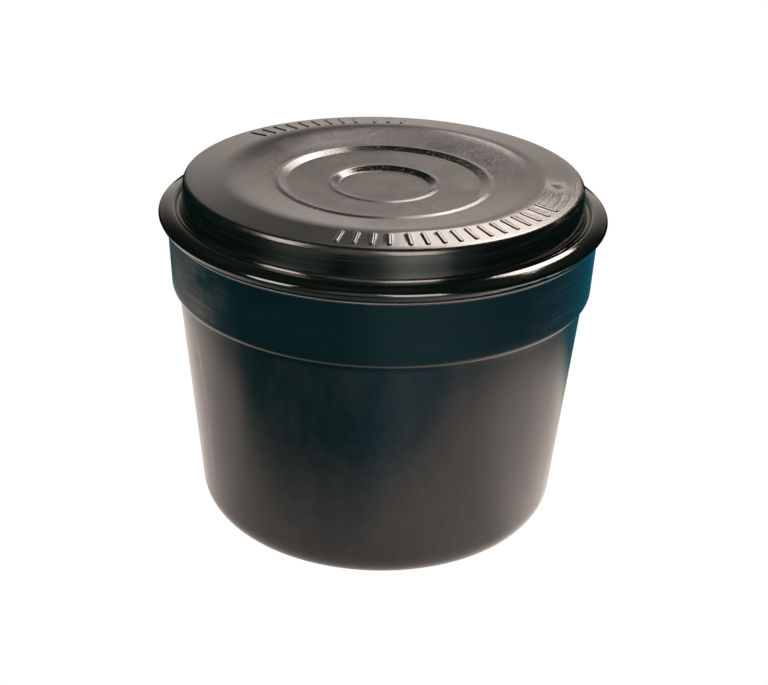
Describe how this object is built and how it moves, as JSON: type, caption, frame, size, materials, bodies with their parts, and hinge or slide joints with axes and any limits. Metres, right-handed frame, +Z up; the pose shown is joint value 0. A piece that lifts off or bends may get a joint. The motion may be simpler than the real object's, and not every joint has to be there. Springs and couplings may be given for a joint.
{
  "type": "lidded tub",
  "caption": "Round tapered moulded plastic tub with a ledge, collar and beaded rim, closed by a loose stepped lid that lifts off.",
  "frame": {"origin": "centre of the underside of the base, on the surface it stands on", "axes": "+Z up along the axis of the tub and lid; -Y is the front, where the longer row of ribs on the lid is"},
  "size_m": [0.64, 0.64, 0.5206],
  "materials": {
    "tub_plastic": "satin black moulded polyethylene",
    "lid_plastic": "satin black moulded polyethylene, lightly scuffed"
  },
  "bodies": {
    "tub": {"tub_shell": "tub_plastic"},
    "lid": {"lid_shell": "lid_plastic"}
  },
  "joints": [
    {"name": "lid_lift", "type": "slide", "parent": "tub", "child": "lid", "axis": [0, 0, 1], "range_m": [0, 0.25]}
  ]
}
